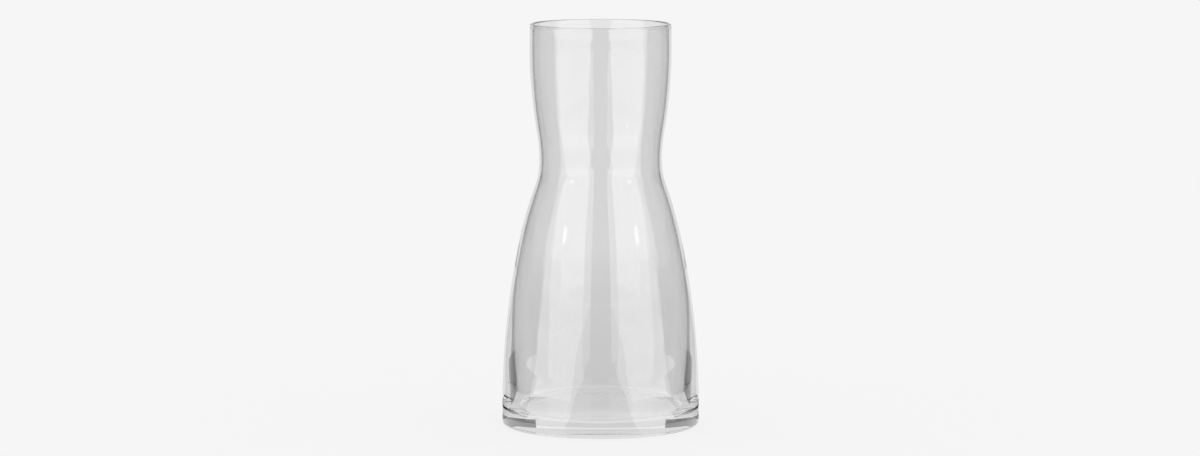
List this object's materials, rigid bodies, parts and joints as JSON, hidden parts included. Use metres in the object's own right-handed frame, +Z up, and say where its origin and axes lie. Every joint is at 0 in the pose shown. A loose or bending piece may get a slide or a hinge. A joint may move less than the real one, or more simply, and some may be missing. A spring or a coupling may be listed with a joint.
{
  "type": "water carafe",
  "caption": "Clear one-piece glass carafe with a thick foot, full belly, pinched waist for the hand, open neck and rounded lip, for pouring water.",
  "frame": {"origin": "centre of the standing ring under the foot, on the table", "axes": "+Z up along the axis of revolution, out of the mouth; X and Y are any two directions square to it, because the glass is the same all round"},
  "size_m": [0.105, 0.105, 0.214],
  "materials": {
    "clear_glass": "clear, colourless soda-lime glass, blown smooth, with a flame-rounded lip"
  },
  "bodies": {
    "root": {"glass_body": "clear_glass"}
  },
  "joints": []
}
